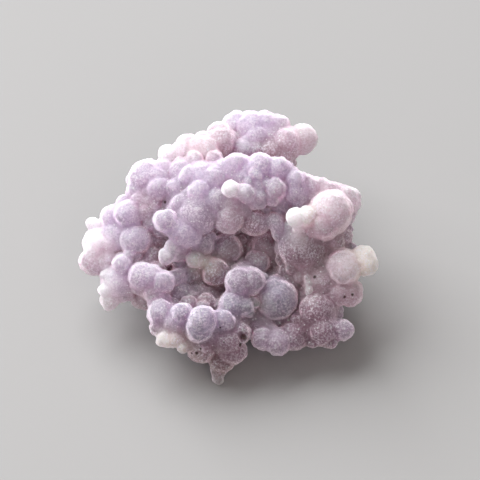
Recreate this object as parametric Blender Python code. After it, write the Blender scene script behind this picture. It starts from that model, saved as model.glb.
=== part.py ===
"""Botryoidal chalcedony: a hand specimen of small lilac balls grown into one another.

The cluster is one solid. Its balls are laid out as they are seen from the front, looking down on it:
so far across the view, so far up the view, and so high above the table. A body of smooth lobes
carries them, more balls cover the sides that this view doesn't reach, all of it is fused into one skin,
and the side that grew on the rock is cut off flat, where the piece rests.
"""

import itertools
import math
import random

import bmesh
import bpy
from mathutils import Vector

MM = 0.001

# Driving dimensions, in millimetres and degrees
VIEW_ELEVATION = 50.0  # how far the laying-out view looks down
VIEW_MIDDLE_HEIGHT = 12.0  # height above the table of the point in the middle of that view
FUSE_STEP = 0.42  # fineness of the fused skin
SKIN_THRESHOLD = 0.5  # where the skin lies in the filled volume's outermost step
SKIN_TRIANGLES = 9400  # triangles of the finished skin, before the flat cut adds its edge
CUT_MARGIN = 12.0  # how far the cutting block reaches past the cluster

LOBE_FILL_RADIUS = 1.5  # balls that fill the lobes of the body
LOBE_FILL_SPACING = 1.35
LOBE_FILL_SHIFT = 0.3  # how far they lie out of line, at random
WEB_REACH = 1.0  # two balls this many times their radii apart, or closer, are joined by a web
WEB_SHARE = 0.9  # a web's radius, as a share of the smaller ball's
WEB_SINK = 0.5  # how far a web lies behind the two, as a share of its radius
BACKING_SHARE = 1.12  # the radius of the lump behind each ball, as a share of the ball's
BACKING_SINK = 0.55  # how far that lump lies behind it, as a share of the ball's radius
STEM_SHARE = 0.75  # the radius of the stem that a ball grew on, as a share of the ball's
STEM_STEP = 0.4  # how far apart its balls lie, as a share of that radius
STEM_STEPS = 12  # balls in the longest stem
STEM_END = 0.8  # how deep in its lobe a stem ends
FACING_LIMIT = 0.05  # a surface turned towards the viewer by more than this is a seen one
LOBE_CLEARANCE = 0.97  # balls stand on a lobe only where no other lobe comes deeper than this
HIDDEN_BALL_RADIUS = (1.25, 2.3)  # balls on the back, the sides and the underside
HIDDEN_BALL_SPACING = 2.75
HIDDEN_BALL_SHIFT = 0.5  # how far they lie out of place, at random
HIDDEN_BALL_RISE = 0.1  # how far their middles stand off the lobe, as a share of the radius
FULL_LOBE_HALF = 4.5  # on lobes thinner than this either way the hidden balls are smaller
BUD_RADIUS = (0.45, 0.85)  # small buds on the hidden balls
BUD_SHARE = 0.45  # share of the hidden balls that carry one
BUD_LEAN = 0.8  # how far a bud leans from straight out
FLOOR_BALL_RADIUS = (0.9, 1.4)  # low balls between the big ones in front
FLOOR_BALL_SPACING = 2.0
FLOOR_BALL_SINK = 0.35  # how deep their middles lie in the lobe, as a share of the radius
SEED = 7

SHAPE_NAME = "chalcedony"
COLLECTION_NAME = "botryoidal_chalcedony"
STONE_COLOUR = (0.43, 0.33, 0.47, 1.0)
STONE_ROUGHNESS = 0.42

# Each ball: across the view, up the view, height above the table, radius
BACK_RIDGE = [
    (-0.6, 17.4, 16.4, 1.95),
    (1.8, 16.9, 17.0, 2.4),
    (3.7, 17.3, 16.9, 2.1),
    (5.6, 17.1, 16.5, 1.85),
    (2.55, 15.6, 17.5, 1.65),
    (6.9, 14.7, 16.5, 2.25),
    (9.45, 15.3, 15.5, 2.1),
    (7.65, 13.35, 14.0, 1.2),
    (0.45, 14.1, 15.0, 1.35),
    (4.6, 13.3, 16.5, 1.7),
    (2.4, 13.6, 16.6, 1.5),
    (0.5, 13.7, 17.0, 1.5),
    (6.4, 12.5, 15.5, 1.5),
    (7.2, 11.6, 11.5, 1.2),
]
PALE_SHOULDER = [
    (-3.15, 16.2, 18.0, 1.65),
    (-2.9, 14.9, 18.6, 2.0),
    (-5.1, 13.95, 19.5, 1.6),
    (-5.55, 15.0, 18.5, 1.35),
    (-6.3, 13.5, 18.9, 2.05),
    (-7.8, 14.1, 18.5, 1.8),
    (-8.6, 13.1, 18.7, 1.8),
    (-10.8, 12.9, 18.5, 1.35),
    (-10.35, 11.85, 18.5, 0.75),
    (-3.9, 12.0, 20.0, 1.35),
    (-6.75, 12.0, 20.0, 1.35),
]
LEFT_SHOULDER = [
    (-13.8, 9.0, 17.0, 2.85),
    (-15.0, 7.5, 16.3, 1.9),
    (-12.3, 9.0, 18.0, 2.1),
    (-12.15, 7.65, 18.3, 1.8),
    (-11.4, 10.5, 18.3, 1.5),
    (-14.85, 10.5, 17.8, 1.2),
    (-16.05, 9.0, 16.3, 1.05),
    (-13.8, 11.1, 18.0, 1.05),
    (-13.5, 5.1, 16.0, 1.8),
    (-9.75, 7.5, 19.0, 1.35),
    (-10.35, 5.25, 16.5, 1.35),
    (-16.8, 3.75, 15.5, 2.1),
    (-19.05, 3.3, 14.0, 1.8),
    (-17.25, 5.55, 15.0, 1.2),
    (-22.05, 2.4, 12.5, 1.0),
    (-21.15, 2.4, 12.7, 0.6),
    (-21.1, -0.5, 11.3, 2.35),
    (-21.45, -0.2, 13.4, 1.2),
    (-21.9, -1.65, 12.0, 1.3),
    (-22.0, -3.15, 10.5, 1.95),
    (-20.5, -3.0, 10.6, 1.95),
    (-15.75, 0.0, 13.5, 2.25),
    (-17.7, -0.15, 12.5, 1.5),
    (-14.25, -1.8, 10.5, 1.8),
]
LEFT_LOWER_ARM = [
    (-17.7, -3.6, 12.5, 1.35),
    (-16.65, -2.25, 13.0, 0.75),
    (-18.3, -6.15, 9.5, 2.4),
    (-16.8, -6.3, 9.5, 1.65),
    (-18.9, -5.25, 11.3, 0.75),
    (-20.4, -5.1, 11.0, 0.55),
    (-20.25, -7.5, 9.5, 0.9),
    (-19.5, -9.0, 7.5, 1.35),
    (-14.7, -5.4, 12.0, 1.95),
    (-13.2, -5.55, 12.3, 1.75),
    (-11.5, -6.2, 12.6, 1.6),
    (-12.6, -7.5, 10.5, 1.95),
    (-14.7, -8.85, 6.5, 1.5),
]
FRONT_LEFT_LOBE = [
    (-11.55, -10.95, 9.5, 2.1),
    (-11.7, -13.05, 8.0, 1.65),
    (-9.75, -12.3, 9.5, 1.8),
    (-8.7, -10.95, 11.5, 1.5),
    (-11.1, -14.7, 8.2, 1.2),
    (-9.6, -14.7, 8.2, 1.2),
    (-8.6, -16.05, 7.4, 0.8),
    (-5.55, -12.0, 12.0, 2.05),
    (-6.0, -13.05, 10.5, 2.1),
    (-2.4, -12.15, 10.5, 1.8),
    (-5.7, -16.2, 6.5, 1.95),
    (-7.05, -15.45, 7.0, 1.35),
    (-1.8, -14.7, 8.0, 2.25),
    (-0.15, -13.8, 8.5, 1.65),
    (-1.2, -16.5, 6.0, 1.95),
    (-2.7, -17.9, 4.1, 1.75),
    (-2.9, -18.7, 3.2, 1.4),
    (-3.1, -19.5, 2.3, 1.1),
    (-3.2, -20.2, 1.6, 0.9),
    (-3.3, -20.7, 1.1, 0.8),
]
CENTRE_HOLLOW = [
    (-6.6, 3.6, 18.0, 2.85),
    (-8.55, 5.25, 18.5, 1.8),
    (-6.0, 5.25, 19.5, 1.8),
    (-4.2, 4.2, 18.5, 1.5),
    (-9.3, 4.2, 17.5, 1.5),
    (-1.5, 5.1, 19.3, 1.65),
    (0.15, 4.5, 18.6, 1.35),
    (-1.65, 3.3, 18.0, 2.1),
    (2.25, 2.7, 16.5, 1.95),
    (-2.1, -1.5, 12.0, 2.25),
    (-3.6, -4.8, 11.5, 2.1),
    (-6.75, -4.5, 10.5, 1.95),
    (-8.7, -5.7, 9.5, 1.8),
    (-9.0, -7.95, 9.0, 1.8),
    (-6.0, -7.8, 8.5, 1.65),
    (-4.8, -9.0, 8.0, 1.2),
    (-6.75, -2.85, 13.5, 1.2),
    (-5.55, -3.3, 12.8, 0.85),
    (-5.4, -0.6, 14.5, 1.35),
    (-6.45, -0.9, 14.6, 0.75),
    (-4.2, 0.6, 15.3, 0.6),
    (-4.95, 0.3, 15.5, 0.6),
    (-8.85, -2.85, 11.5, 1.5),
    (-6.0, -9.15, 8.2, 1.2),
    (-4.5, -9.3, 8.3, 1.05),
    (0.0, -2.7, 9.2, 1.2),
    (3.75, -1.05, 11.5, 1.95),
    (2.7, -3.3, 11.0, 1.8),
    (4.8, -1.5, 11.5, 1.35),
    (6.75, -5.55, 9.0, 1.95),
]
HANGING_FINGER = [
    (-11.1, 2.85, 19.0, 1.65),
    (-9.6, 1.8, 18.0, 1.35),
    (-8.4, 1.0, 17.0, 2.05),
    (-7.2, 0.3, 16.5, 1.2),
    (-10.05, -1.05, 15.5, 1.15),
    (-10.95, -2.4, 14.5, 1.15),
]
CENTRE_RIGHT = [
    (0.0, -6.3, 13.0, 2.1),
    (1.65, -6.15, 13.0, 1.95),
    (-0.9, -9.6, 11.0, 1.95),
    (0.6, -9.9, 11.0, 1.35),
    (1.2, -10.65, 10.0, 0.9),
    (2.25, -9.3, 10.5, 0.7),
    (5.55, -8.85, 9.5, 3.1),
    (3.75, -5.55, 11.0, 0.5),
    (3.3, -14.6, 7.0, 1.6),
    (5.55, -15.15, 6.5, 1.9),
    (3.75, -13.05, 7.0, 0.5),
]
MIDDLE_RIDGE = [
    (-0.6, 11.1, 22.0, 1.75),
    (3.15, 10.95, 22.5, 1.9),
    (5.7, 10.35, 22.0, 1.95),
    (2.4, 9.75, 22.5, 1.15),
    (8.25, 8.85, 21.5, 1.5),
    (5.4, 7.5, 21.5, 1.45),
    (4.8, 6.3, 20.5, 1.05),
    (8.4, 7.2, 20.0, 1.8),
    (0.9, 6.9, 21.5, 1.35),
    (-1.35, 7.65, 22.5, 1.2),
    (1.8, 5.7, 20.0, 1.0),
    (3.3, 6.15, 20.0, 1.0),
    (-3.75, 9.0, 21.0, 2.1),
    (-6.0, 7.05, 20.5, 1.8),
    (-7.5, 9.3, 20.0, 1.8),
    (-3.75, 6.0, 20.0, 1.8),
    (0.0, 9.0, 21.0, 1.5),
    (3.3, 8.1, 21.0, 1.5),
    (2.25, 10.2, 23.0, 0.8),
    (2.55, 9.45, 22.6, 0.9),
    (0.45, 9.45, 22.2, 0.6),
    (1.2, 8.85, 22.2, 0.6),
    (5.25, 8.55, 22.4, 0.75),
    (5.55, 7.8, 21.7, 1.3),
    (4.95, 6.15, 20.6, 0.9),
    (4.05, 8.25, 22.0, 0.6),
    (3.0, 8.1, 21.6, 1.0),
    (3.0, 6.45, 20.6, 1.15),
    (2.1, 5.25, 19.9, 0.75),
    (3.15, 5.55, 19.9, 0.75),
    (8.7, 7.65, 20.5, 1.35),
    (9.0, 6.15, 19.0, 1.5),
    (6.15, 5.25, 18.0, 1.5),
    (-5.25, 10.2, 21.2, 0.8),
    (-5.4, 7.65, 21.4, 0.9),
    (2.0, 8.4, 21.3, 1.1),
]
RIGHT_ARM = [
    (9.9, 8.4, 19.5, 1.35),
    (10.8, 7.5, 19.0, 1.8),
    (12.0, 7.8, 19.0, 1.35),
    (14.25, 7.2, 18.5, 1.35),
    (16.8, 5.4, 17.0, 1.2),
    (13.2, 6.6, 18.5, 1.95),
    (15.75, 6.0, 18.0, 1.95),
    (16.8, 6.45, 17.5, 1.15),
    (16.35, 3.9, 16.5, 1.05),
    (13.5, 4.2, 19.5, 3.0),
    (11.4, 2.0, 18.3, 1.7),
    (12.5, 2.4, 18.8, 2.2),
    (10.05, 3.45, 20.0, 1.5),
    (8.25, 3.3, 20.5, 1.35),
]
RIGHT_FACE = [
    (9.3, -1.05, 14.0, 3.6),
    (7.5, 1.8, 16.5, 1.3),
    (5.25, 3.0, 17.2, 1.25),
    (5.7, 1.8, 16.5, 1.1),
    (5.9, 0.9, 15.7, 1.1),
    (13.2, 0.0, 14.0, 2.4),
    (15.0, 0.6, 13.5, 1.65),
    (15.45, -4.05, 13.3, 2.55),
    (18.3, -2.7, 13.8, 1.75),
    (19.05, -3.6, 13.5, 1.45),
    (18.45, -4.5, 13.0, 0.9),
    (12.3, -6.0, 10.5, 2.7),
    (10.05, -4.5, 12.6, 0.7),
    (10.05, -5.6, 12.2, 0.6),
    (10.2, -6.5, 11.9, 0.55),
    (10.25, -7.4, 11.6, 0.6),
    (16.4, -7.95, 9.5, 1.9),
    (14.7, -7.9, 10.0, 1.8),
    (11.4, -10.5, 8.5, 2.7),
    (12.3, -13.35, 7.0, 2.25),
    (15.3, -13.35, 7.0, 1.45),
    (7.95, -14.25, 6.0, 2.1),
    (10.8, -15.0, 5.5, 1.05),
    (13.35, -14.85, 5.5, 1.2),
]
# Broad low swellings under the balls, where the body of the stone nearly reaches their crowns
SWELLINGS = [
    (4.6, 15.2, 16.2, 2.2),
    (-5.2, 12.8, 18.6, 2.2),
    (-5.6, 9.2, 20.1, 2.3),
    (-2.0, 9.6, 20.4, 2.4),
    (1.4, 9.8, 20.6, 2.4),
    (4.6, 9.6, 20.4, 2.4),
    (7.4, 8.2, 19.5, 2.3),
    (-4.6, 6.6, 18.5, 2.4),
    (-1.0, 6.8, 18.7, 2.3),
    (2.2, 7.0, 18.8, 2.4),
    (5.4, 6.8, 18.7, 2.3),
    (-11.5, 7.0, 16.2, 2.4),
    (-9.0, 6.4, 17.2, 2.3),
    (-8.6, 9.8, 18.6, 2.2),
    (-15.2, 5.4, 14.8, 2.1),
    (-18.6, 0.9, 12.8, 2.0),
    (-16.4, -4.6, 10.0, 2.0),
    (12.6, -3.2, 11.6, 2.5),
    (10.1, -12.8, 6.2, 2.3),
    (-8.2, -13.2, 8.0, 2.1),
    (-3.6, -14.2, 7.8, 2.2),
]
SEEN_BALLS = (
    BACK_RIDGE
    + PALE_SHOULDER
    + LEFT_SHOULDER
    + LEFT_LOWER_ARM
    + FRONT_LEFT_LOBE
    + CENTRE_HOLLOW
    + HANGING_FINGER
    + CENTRE_RIGHT
    + MIDDLE_RIDGE
    + RIGHT_ARM
    + RIGHT_FACE
    + SWELLINGS
)

# Balls under the overhang of the two ridges, on the side away from the viewer: X, Y, Z, radius
FAR_BALLS = [
    (-1.9, 19.7, 14.6, 1.4),
    (0.5, 20.8, 14.9, 1.5),
    (2.9, 20.6, 14.6, 1.7),
    (5.4, 20.4, 14.6, 1.4),
    (7.4, 18.7, 13.9, 1.7),
    (10.3, 18.0, 13.6, 1.3),
    (4.1, 19.2, 12.5, 1.6),
    (1.4, 19.3, 12.7, 1.3),
    (-0.8, 18.3, 12.4, 1.5),
    (6.3, 17.8, 11.9, 1.3),
    (0.2, 8.4, 19.9, 1.4),
    (2.6, 8.0, 20.2, 1.5),
    (5.2, 7.6, 19.9, 1.6),
    (7.9, 6.2, 18.4, 1.4),
    (10.4, 6.1, 17.4, 1.6),
    (12.6, 5.6, 17.0, 1.4),
    (14.6, 5.2, 16.4, 1.5),
    (16.8, 4.5, 15.6, 1.3),
    (0.4, 8.6, 17.2, 1.6),
    (2.9, 8.2, 17.8, 1.3),
    (5.7, 7.4, 17.5, 1.5),
    (9.0, 6.3, 15.9, 1.6),
    (11.6, 5.4, 14.8, 1.4),
    (13.7, 4.4, 14.1, 1.6),
    (15.6, 3.9, 13.6, 1.2),
]

# Each lobe of the body: its middle and its half-lengths along X, Y and Z
LOBES = {
    "foot": ((1.0, 3.0, 1.0), (12.0, 10.0, 4.5)),
    "trunk": ((0.0, 2.5, 5.5), (13.0, 10.0, 6.0)),
    "ridge": ((0.5, 4.8, 15.8), (10.8, 3.9, 5.8)),
    "back": ((1.2, 12.5, 8.5), (5.8, 5.0, 5.5)),
    "back_ridge": ((1.8, 16.0, 14.0), (4.6, 2.8, 2.8)),
    "shoulder": ((-8.0, 8.2, 13.0), (6.0, 4.8, 6.4)),
    "left": ((-13.0, 4.2, 12.0), (4.8, 4.6, 5.3)),
    "left_arm": ((-16.0, -1.0, 10.0), (5.0, 3.5, 2.4)),
    "left_low": ((-13.8, -5.6, 9.3), (3.4, 2.5, 2.2)),
    "front_left": ((-6.5, -11.5, 7.5), (5.0, 4.0, 3.0)),
    "front": ((0.0, -6.0, 6.0), (9.0, 7.0, 3.8)),
    "right": ((10.5, -2.0, 10.0), (5.0, 5.5, 5.0)),
    "right_arm": ((12.3, 1.7, 16.0), (3.9, 3.0, 3.2)),
    "front_right": ((10.0, -9.3, 6.6), (4.3, 3.8, 2.5)),
}


def laid_out(across, up, height):
    """A point in space from its place in the laying-out view and its height above the table."""
    tilt = math.radians(VIEW_ELEVATION)
    back = (up - (height - VIEW_MIDDLE_HEIGHT) * math.cos(tilt)) / math.sin(tilt)
    return Vector((across, back, height))


def towards_the_viewer():
    tilt = math.radians(VIEW_ELEVATION)
    return Vector((0.0, -math.cos(tilt), math.sin(tilt)))


def even_directions(count):
    """Directions spread evenly all round, by the golden angle."""
    golden_angle = math.pi * (3.0 - math.sqrt(5.0))
    for step in range(count):
        height = 1.0 - 2.0 * (step + 0.5) / count
        ring = math.sqrt(1.0 - height * height)
        turn = step * golden_angle
        yield Vector((ring * math.cos(turn), ring * math.sin(turn), height))


def lobe_depth(point, lobe):
    """How deep a point lies in a lobe: 0 at its middle, 1 on its surface, more outside it."""
    middle, halves = lobe
    return math.sqrt(sum(((p - m) / h) ** 2 for p, m, h in zip(point, middle, halves)))


def scatter(rng, most):
    """A random shift of up to so much along each axis."""
    return Vector(rng.uniform(-most, most) for _ in range(3))


def lobe_surface(name, spacing):
    """Points about a spacing apart on one lobe, clear of the other lobes, each with its outward direction."""
    middle, halves = LOBES[name]
    mean = (halves[0] * halves[1] * halves[2]) ** (1.0 / 3.0)
    count = int(4.0 * math.pi * mean * mean / spacing**2)
    others = [lobe for other, lobe in LOBES.items() if other != name]
    for direction in even_directions(count):
        point = Vector(m + h * d for m, h, d in zip(middle, halves, direction))
        outward = Vector(d / h for h, d in zip(halves, direction)).normalized()
        if point.z > 0.0 and all(lobe_depth(point, lobe) > LOBE_CLEARANCE for lobe in others):
            yield point, outward


def hidden_balls(rng):
    """Balls with their buds on every side that the laying-out view doesn't reach."""
    balls = []
    for name, (lobe_middle, halves) in LOBES.items():
        share = min(1.0, min(halves) / FULL_LOBE_HALF)
        for point, outward in lobe_surface(name, HIDDEN_BALL_SPACING * share):
            radius = rng.uniform(*HIDDEN_BALL_RADIUS) * share
            shift = scatter(rng, HIDDEN_BALL_SHIFT)
            has_bud = rng.random() < BUD_SHARE
            bud_radius = rng.uniform(*BUD_RADIUS)
            lean = scatter(rng, BUD_LEAN)
            if outward.dot(towards_the_viewer()) > FACING_LIMIT:
                continue
            centre = point + outward * radius * HIDDEN_BALL_RISE + shift
            balls.append((centre, radius))
            if has_bud:
                balls.append((centre + (outward + lean).normalized() * radius, bud_radius))
    return balls


def floor_balls(rng):
    """Low balls on the body between the big ones, towards the viewer."""
    balls = []
    for name in LOBES:
        for point, outward in lobe_surface(name, FLOOR_BALL_SPACING):
            radius = rng.uniform(*FLOOR_BALL_RADIUS)
            if outward.dot(towards_the_viewer()) > FACING_LIMIT:
                balls.append((point - outward * radius * FLOOR_BALL_SINK, radius))
    return balls


def web_balls(balls):
    """A ball in each gap between neighbours, set back from the viewer, where they have grown together."""
    webs = []
    for first, (middle_1, radius_1) in enumerate(balls):
        for middle_2, radius_2 in balls[first + 1 :]:
            apart = (middle_1 - middle_2).length
            if apart > WEB_REACH * (radius_1 + radius_2):
                continue
            radius = WEB_SHARE * min(radius_1, radius_2)
            middle = middle_1.lerp(middle_2, 0.5)
            webs.append((middle - towards_the_viewer() * radius * WEB_SINK, radius))
    return webs


def backing_balls(balls):
    """A lump a little wider than each ball, sunk behind it, that the ball swells out of."""
    away = -towards_the_viewer()
    return [(middle + away * radius * BACKING_SINK, radius * BACKING_SHARE) for middle, radius in balls]


def stem_balls(balls):
    """The stem that each ball grew on: a short row of balls from it into the nearest lobe."""
    stems = []
    for middle, radius in balls:
        nearest = min(LOBES.values(), key=lambda lobe: lobe_depth(middle, lobe))
        inward = (Vector(nearest[0]) - middle).normalized()
        stem_radius = STEM_SHARE * radius
        for step in range(1, STEM_STEPS + 1):
            point = middle + inward * step * STEM_STEP * stem_radius
            if lobe_depth(point, nearest) < STEM_END:
                break
            stems.append((point, stem_radius))
    return stems


def lobe_filling(rng):
    """Balls that fill each lobe of the body, a little out of line so that no rows show."""
    filling = []
    for middle, halves in LOBES.values():
        inner = [half - LOBE_FILL_RADIUS for half in halves]
        counts = [int(half / LOBE_FILL_SPACING) for half in inner]
        steps = [range(-count, count + 1) for count in counts]
        for place in itertools.product(*steps):
            offset = Vector(place) * LOBE_FILL_SPACING + scatter(rng, LOBE_FILL_SHIFT)
            if sum((o / half) ** 2 for o, half in zip(offset, inner)) <= 1.0:
                filling.append((Vector(middle) + offset, LOBE_FILL_RADIUS))
    return filling


def all_balls():
    rng = random.Random(SEED)
    seen = [(laid_out(across, up, height), radius) for across, up, height, radius in SEEN_BALLS]
    grown = web_balls(seen) + backing_balls(seen) + stem_balls(seen)
    far = [(Vector(place), radius) for *place, radius in FAR_BALLS]
    return seen + grown + far + hidden_balls(rng) + floor_balls(rng) + lobe_filling(rng)


def ball_cloud():
    """A cloud with one point for each ball, which carries the ball's radius."""
    balls = all_balls()
    mesh = bpy.data.meshes.new(SHAPE_NAME)
    mesh.from_pydata([middle * MM for middle, radius in balls], [], [])
    radii = mesh.attributes.new("ball_radius", "FLOAT", "POINT")
    for entry, (middle, radius) in zip(radii.data, balls):
        entry.value = radius * MM
    return mesh


def fusing_nodes():
    """Nodes that fill each ball of a cloud and draw one skin round them all."""
    group = bpy.data.node_groups.new("fuse_balls", "GeometryNodeTree")
    group.interface.new_socket("Cloud", in_out="INPUT", socket_type="NodeSocketGeometry")
    group.interface.new_socket("Skin", in_out="OUTPUT", socket_type="NodeSocketGeometry")
    node = group.nodes.new
    cloud = node("NodeGroupInput").outputs[0]
    points = node("GeometryNodeMeshToPoints")
    radius = node("GeometryNodeInputNamedAttribute")
    radius.data_type = "FLOAT"
    radius.inputs["Name"].default_value = "ball_radius"
    grown = node("ShaderNodeMath")
    grown.operation = "ADD"
    grown.inputs[1].default_value = SKIN_THRESHOLD * FUSE_STEP * MM
    filled = node("GeometryNodePointsToVolume")
    filled.resolution_mode = "VOXEL_SIZE"
    filled.inputs["Voxel Size"].default_value = FUSE_STEP * MM
    skin = node("GeometryNodeVolumeToMesh")
    skin.resolution_mode = "GRID"
    skin.inputs["Threshold"].default_value = SKIN_THRESHOLD
    skin.inputs["Adaptivity"].default_value = 0.0
    result = node("NodeGroupOutput").inputs[0]
    link = group.links.new
    link(cloud, points.inputs["Mesh"])
    link(radius.outputs[0], grown.inputs[0])
    link(points.outputs[0], filled.inputs["Points"])
    link(grown.outputs[0], filled.inputs["Radius"])
    link(filled.outputs[0], skin.inputs["Volume"])
    link(skin.outputs[0], result)
    return group


def applied(piece):
    """The piece's mesh as its modifiers leave it, put in place of its first one."""
    evaluated = piece.evaluated_get(bpy.context.evaluated_depsgraph_get())
    first = piece.data
    piece.data = bpy.data.meshes.new_from_object(evaluated)
    piece.modifiers.clear()
    bpy.data.meshes.remove(first)


def keep_largest_shell(mesh):
    """Delete every closed shell but the one with the most faces, so that the stone is solid inside."""
    shape = bmesh.new()
    shape.from_mesh(mesh)
    shells = []
    unseen = set(shape.faces)
    while unseen:
        front = [unseen.pop()]
        shell = list(front)
        while front:
            face = front.pop()
            for edge in face.edges:
                for neighbour in edge.link_faces:
                    if neighbour in unseen:
                        unseen.remove(neighbour)
                        front.append(neighbour)
                        shell.append(neighbour)
        shells.append(shell)
    shells.sort(key=len)
    for shell in shells[:-1]:
        bmesh.ops.delete(shape, geom=shell, context="FACES")
    shape.to_mesh(mesh)
    shape.free()


def stone_material():
    material = bpy.data.materials.new("chalcedony")
    material.use_nodes = True
    surface = material.node_tree.nodes["Principled BSDF"]
    surface.inputs["Base Color"].default_value = STONE_COLOUR
    surface.inputs["Roughness"].default_value = STONE_ROUGHNESS
    surface.inputs["Metallic"].default_value = 0.0
    return material


def new_collection(name):
    made = bpy.data.collections.new(name)
    bpy.context.scene.collection.children.link(made)
    return made


def base_cutter(cutters, bounds):
    """A block whose top face lies at the height of the table, wider than the cluster."""
    reach = max(abs(v) for corner in bounds for v in corner) + CUT_MARGIN * MM
    bpy.ops.mesh.primitive_cube_add(size=2.0 * reach, location=(0.0, 0.0, -reach))
    cutter = bpy.context.object
    cutter.name = "rock_side_cut"
    for holder in list(cutter.users_collection):
        holder.objects.unlink(cutter)
    cutters.objects.link(cutter)
    cutter.hide_render = True
    cutter.display_type = "WIRE"
    return cutter


def chalcedony(parts, cutters):
    cluster = bpy.data.objects.new(SHAPE_NAME, ball_cloud())
    parts.objects.link(cluster)
    cluster.modifiers.new("fuse", "NODES").node_group = fusing_nodes()
    applied(cluster)
    keep_largest_shell(cluster.data)

    thin = cluster.modifiers.new("thin", "DECIMATE")
    cluster.data.calc_loop_triangles()
    thin.ratio = SKIN_TRIANGLES / len(cluster.data.loop_triangles)
    thin.use_collapse_triangulate = True

    cut = cluster.modifiers.new("rock_side", "BOOLEAN")
    cut.operation = "DIFFERENCE"
    cut.solver = "EXACT"
    cut.object = base_cutter(cutters, [v.co for v in cluster.data.vertices])

    cluster.data.shade_smooth()
    cluster.data.materials.clear()
    cluster.data.materials.append(stone_material())
    return cluster


def clear_scene():
    for old in list(bpy.data.objects):
        bpy.data.objects.remove(old, do_unlink=True)


def main():
    clear_scene()
    parts = new_collection(COLLECTION_NAME)
    cutters = new_collection("cutters")
    chalcedony(parts, cutters)


main()
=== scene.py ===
import itertools
import math
import random

import bmesh
import bpy
import numpy as np
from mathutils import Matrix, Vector


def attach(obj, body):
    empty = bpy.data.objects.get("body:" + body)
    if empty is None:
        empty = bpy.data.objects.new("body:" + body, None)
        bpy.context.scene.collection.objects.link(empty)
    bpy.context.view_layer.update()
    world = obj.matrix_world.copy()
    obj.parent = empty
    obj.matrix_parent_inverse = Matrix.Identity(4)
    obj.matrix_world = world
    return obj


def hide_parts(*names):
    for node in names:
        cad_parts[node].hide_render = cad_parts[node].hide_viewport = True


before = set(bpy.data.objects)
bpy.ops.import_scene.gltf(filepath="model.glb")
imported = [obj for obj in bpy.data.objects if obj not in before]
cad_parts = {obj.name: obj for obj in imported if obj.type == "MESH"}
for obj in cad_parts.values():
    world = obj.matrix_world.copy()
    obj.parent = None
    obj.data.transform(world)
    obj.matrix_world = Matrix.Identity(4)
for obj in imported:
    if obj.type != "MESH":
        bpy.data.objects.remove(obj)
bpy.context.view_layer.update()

# The cluster: translucent chalcedony in small balls, each grown over its neighbours, all one piece of stone.
# It is laid out as it is seen from the front, looking down on it. Where it grew on the rock it is sawn off
# flat, and it rests on that face.

# Tints of the stone, from thin and pale to thick and dark. The darker ones, mauve, brown, plum, umber and the
# darkest, are partly the stone's own colour and partly painted shade, given to balls that lie in the hollows,
# in the valley and low at the front.
WHITE = "#F3ECEE"
CREAM = "#EFE1D4"
BLUSH = "#DFCBD0"
PALE = "#D5C8D8"
PINK = "#C9A7B5"
LILAC = "#CBBBD6"
BLUISH = "#B0A4BE"
GREYISH = "#B39EB5"
MAUVE = "#9B6F83"
BROWN = "#AD8188"
DARK_SHADE = "#8C5462"
PLUM = "#8B6275"
UMBER = "#8C6865"

VIEW_ELEVATION = 50.0  # how far the laying-out view looks down, in degrees
VIEW_MIDDLE_HEIGHT = 12.0  # height above the table of the point in the middle of that view

# Each ball, in mm: across the view, up the view, height above the table, radius, tint
# The ridge at the back: clear lilac, paler and pinker towards its right end, brownish in the valley in front.
# The brown balls in the valley are partly painted shade.
BACK_RIDGE = [
    (-0.6, 17.4, 16.4, 1.95, LILAC),
    (1.8, 16.9, 17.0, 2.4, LILAC),
    (3.7, 17.3, 16.9, 2.1, LILAC),
    (5.6, 17.1, 16.5, 1.85, PALE),
    (2.55, 15.6, 17.5, 1.65, LILAC),
    (6.9, 14.7, 16.5, 2.25, PINK),
    (9.45, 15.3, 15.5, 2.1, BLUSH),
    (7.65, 13.35, 14.0, 1.2, PINK),
    (0.45, 14.1, 15.0, 1.35, LILAC),
    (4.6, 13.3, 16.5, 1.7, BROWN),
    (2.4, 13.6, 16.6, 1.5, PINK),
    (0.5, 13.7, 17.0, 1.5, LILAC),
    (6.4, 12.5, 15.5, 1.5, BROWN),
    (7.2, 11.6, 11.5, 1.2, BROWN),
]
# The pale shoulder at the back left, almost white where it is thinnest.
PALE_SHOULDER = [
    (-3.15, 16.2, 18.0, 1.65, BLUSH),
    (-2.9, 14.9, 18.6, 2.0, PINK),
    (-5.1, 13.95, 19.5, 1.6, BLUSH),
    (-5.55, 15.0, 18.5, 1.35, BLUSH),
    (-6.3, 13.5, 18.9, 2.05, BLUSH),
    (-7.8, 14.1, 18.5, 1.8, BLUSH),
    (-8.6, 13.1, 18.7, 1.8, BLUSH),
    (-10.8, 12.9, 18.5, 1.35, WHITE),
    (-10.35, 11.85, 18.5, 0.75, WHITE),
    (-3.9, 12.0, 20.0, 1.35, PINK),
    (-6.75, 12.0, 20.0, 1.35, BLUSH),
]
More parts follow.
